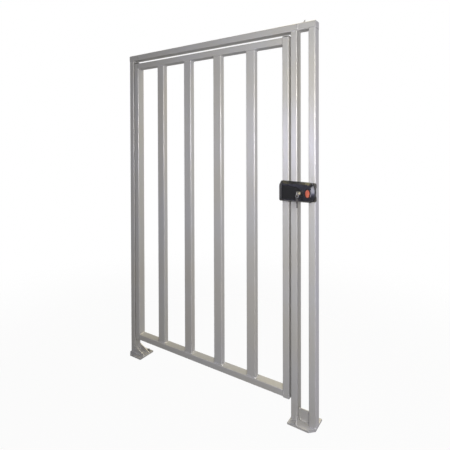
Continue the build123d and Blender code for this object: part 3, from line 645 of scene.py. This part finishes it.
def latheShape(made, centre, profile, sides, turn=0.0):
    # (radius, height) rings round an upright axis, closed at both ends
    rings = []
    for radius, height in profile:
        rings.append([made.verts.new((centre.x + radius * cos(turn + 2 * pi * step / sides),
                                      centre.y + radius * sin(turn + 2 * pi * step / sides), height))
                      for step in range(sides)])
    for lower, upper in zip(rings, rings[1:]):
        for step in range(sides):
            following = (step + 1) % sides
            made.faces.new((lower[step], lower[following], upper[following], upper[step]))
    made.faces.new(reversed(rings[0]))
    made.faces.new(rings[-1])


# the bolt pattern and the sizes of a twelve millimetre anchor, its washer and its nut (millimetres)
anchor = {
    "edge": 24, "washer": 12, "washerThick": 2.5, "nut": 10.6, "nutThick": 10, "nutTurn": 0.3, "stud": 5.9,
    "stand": 4.5, "pitch": 1.75, "threadDepth": 0.9, "flankAt": 0.2, "crestAt": 0.8, "crestEnd": 1.1,
    "tipInset": 1, "tipRise": 0.6, "footHeight": 0.5,
    "washerBevel": (0.5, 0.4), "nutBevel": (1.1, 0.8), "roundSides": 40, "nutSides": 6, "studSides": 24,
}


def bevelled(radius, low, high, bevel):
    # outline of a disc with both rims bevelled
    inset, drop = bevel
    return [(radius - inset, low), (radius, low + drop), (radius, high - drop), (radius - inset, high)]


def studProfile(nutTop):
    crest, root = anchor["stud"], anchor["stud"] - anchor["threadDepth"]
    profile = [(root, anchor["footHeight"]), (root, nutTop)]
    height = nutTop
    while height < nutTop + anchor["stand"]:
        profile += [(root, height + anchor["flankAt"]), (crest, height + anchor["crestAt"]),
                    (crest, height + anchor["crestEnd"])]
        height += anchor["pitch"]
    return profile + [(root, height), (root - anchor["tipInset"], height + anchor["tipRise"])]


def anchorBolts(plate, material):
    low, high = nodeBox(plate)
    washerTop = high.z + anchor["washerThick"]
    nutTop = washerTop + anchor["nutThick"]
    washer = bevelled(anchor["washer"], high.z, washerTop, anchor["washerBevel"])
    nut = bevelled(anchor["nut"], washerTop, nutTop, anchor["nutBevel"])
    made = bmesh.new()
    for number, holeX in enumerate((low.x + anchor["edge"], high.x - anchor["edge"])):
        centre = Vector((holeX, high.y - anchor["edge"], 0))
        latheShape(made, centre, washer, anchor["roundSides"])
        latheShape(made, centre, nut, anchor["nutSides"], anchor["nutTurn"] + number)
        latheShape(made, centre, studProfile(nutTop), anchor["studSides"])
    addPiece(plate + "_anchors", "portal", made, material)


galvanised = weatheredZinc()
for plate in ("hinge_base_plate", "latch_base_plate"):
    anchorBolts(plate, galvanised)
print("anchor bolts stand")


# floor, light and camera (metres and watts)
studio = {
    "floorRadius": 9, "floorSides": 96, "fadeStart": 1.3, "fadeEnd": 3.6, "floorTone": "#7a7874",
    "seenShare": 0.96, "mirrorShare": 0.3, "ambient": 0.03, "ambientTint": "#fffaf2",
}
lamps = {
    "left": {"place": (0.5, -2.1, 1.6), "size": 0.6, "power": 6.5, "tint": "#d6d6ff"},
    "back": {"place": (0.1, 3.4, 1.9), "size": 1.6, "power": 32, "tint": "#fffdf8"},
    "key": {"place": (2.3, -1.85, 1.7), "size": 0.7, "power": 59, "tint": "#fdfbf8"},
    "near": {"place": (1.9, -1.2, 2.2), "size": 0.5, "power": 7, "tint": "#fffff0"},
    "side": {"place": (3.6, 0.85, 1.6), "size": 1.2, "power": 20, "tint": "#fdfdff"},
    "top": {"place": (1.1, 1.0, 4.5), "size": 2.2, "power": 60, "tint": "#fff0b4"},
    "rear": {"place": (0.6, 3.2, 3.9), "size": 1.6, "power": 52, "tint": "#fff3d0"},
    "rim": {"place": (3.6, 0.1, 1.3), "size": 1.6, "power": 21, "tint": "#ccccff"},
}


def seenRay(tree):
    # full for the rays that show the background straight or through glass, a share of it for mirrored ones
    path = addNode(tree, "ShaderNodeLightPath")
    glossy, glass = path.outputs["Is Glossy Ray"], path.outputs["Is Transmission Ray"]
    dimming = {"operation": "MULTIPLY", 1: studio["mirrorShare"]}
    mirrored = addNode(tree, "ShaderNodeMath", dimming, {0: glossy})
    straight = path.outputs["Is Camera Ray"]
    seen = addNode(tree, "ShaderNodeMath", {"operation": "MAXIMUM"}, {0: straight, 1: mirrored})
    return addNode(tree, "ShaderNodeMath", {"operation": "MAXIMUM"}, {0: seen, 1: glass})


def paleFloor(middle):
    made = bmesh.new()
    centre = (middle.x, middle.y, 0)
    bmesh.ops.create_circle(made, cap_ends=True, radius=studio["floorRadius"], segments=studio["floorSides"],
                            matrix=Matrix.Translation(centre))
    floor = meshObject("studio_floor", made)
    material, tree, where = newMaterial("pale_studio_floor")
    reach = addNode(tree, "ShaderNodeVectorMath", {"operation": "DISTANCE", 1: centre}, {0: where})
    fading = {"interpolation_type": "SMOOTHSTEP",
              "From Min": studio["fadeStart"], "From Max": studio["fadeEnd"]}
    fade = addNode(tree, "ShaderNodeMapRange", fading, {"Value": reach.outputs["Value"]})
    matte = addNode(tree, "ShaderNodeBsdfDiffuse", {"Color": hexColor(studio["floorTone"])})
    glow = addNode(tree, "ShaderNodeEmission", {"Strength": 1.0})
    # seen straight, the floor is nearly all glow, and the rest keeps the object's shadow
    dimming = {"operation": "MULTIPLY", 1: studio["seenShare"]}
    share = addNode(tree, "ShaderNodeMath", dimming, {0: seenRay(tree)})
    mixed = addNode(tree, "ShaderNodeMixShader", None, {0: share, 1: matte, 2: glow})
    # the rim thins out to nothing, so that the floor has no edge against the white
    clear = addNode(tree, "ShaderNodeBsdfTransparent")
    faded = addNode(tree, "ShaderNodeMixShader", None, {0: fade, 1: mixed, 2: clear})
    addNode(tree, "ShaderNodeOutputMaterial", None, {"Surface": faded})
    coat(floor, material)


def softbox(name, look, target):
    lamp = bpy.data.lights.new(name, "AREA")
    lamp.shape = "DISK"
    lamp.size = look["size"]
    lamp.energy = look["power"]
    lamp.color = hexColor(look["tint"])[:3]
    light = bpy.data.objects.new(name, lamp)
    light.location = look["place"]
    light.rotation_euler = (target - Vector(look["place"])).to_track_quat("-Z", "Y").to_euler()
    bpy.context.scene.collection.objects.link(light)
    return light


def studioWorld():
    world = bpy.data.worlds.new("studio_world")
    bpy.context.scene.world = world
    world.use_nodes = True
    tree = world.node_tree
    tree.nodes.clear()
    ambient = [studio["ambient"] * c for c in hexColor(studio["ambientTint"])[:3]] + [1]
    blend = {"data_type": "RGBA", 6: ambient, 7: hexColor("#ffffff")}
    color = addNode(tree, "ShaderNodeMix", blend, {0: seenRay(tree)})
    glow = addNode(tree, "ShaderNodeBackground", {"Strength": 1.0}, {"Color": color.outputs[2]})
    addNode(tree, "ShaderNodeOutputWorld", None, {"Surface": glow})


# eye height and standing place of someone looking along the gate from its latch side
viewpoint = {
    "place": (2.1558, -2.07264, 1.56704), "turn": 34.4795, "tilt": -0.5412, "roll": -0.1883,
    "sensor": 36, "lens": 30.432, "shiftX": 0.02587, "shiftY": -0.16202, "farClip": 200,
}


def standCamera():
    lens = bpy.data.cameras.new("camera")
    lens.sensor_width = viewpoint["sensor"]
    lens.lens = viewpoint["lens"]
    lens.shift_x = viewpoint["shiftX"]
    lens.shift_y = viewpoint["shiftY"]
    lens.clip_end = viewpoint["farClip"]
    camera = bpy.data.objects.new("camera", lens)
    facing = Matrix.Rotation(radians(viewpoint["turn"]), 4, "Z")
    facing = facing @ Matrix.Rotation(radians(90 + viewpoint["tilt"]), 4, "X")
    facing = facing @ Matrix.Rotation(radians(viewpoint["roll"]), 4, "Z")
    camera.matrix_world = Matrix.Translation(viewpoint["place"]) @ facing
    bpy.context.scene.collection.objects.link(camera)
    bpy.context.scene.camera = camera


middle = (Vector(cadBox[0]) + Vector(cadBox[1])) / 2
paleFloor(middle)
studioWorld()
for lampName, look in lamps.items():
    light = softbox(lampName + "_softbox", look, middle)
    # the back lamp fills the rear faces only, and isn't mirrored towards the front
    light.visible_glossy = lampName != "back"
standCamera()
bpy.context.scene.view_settings.view_transform = "Standard"
print("studio set")
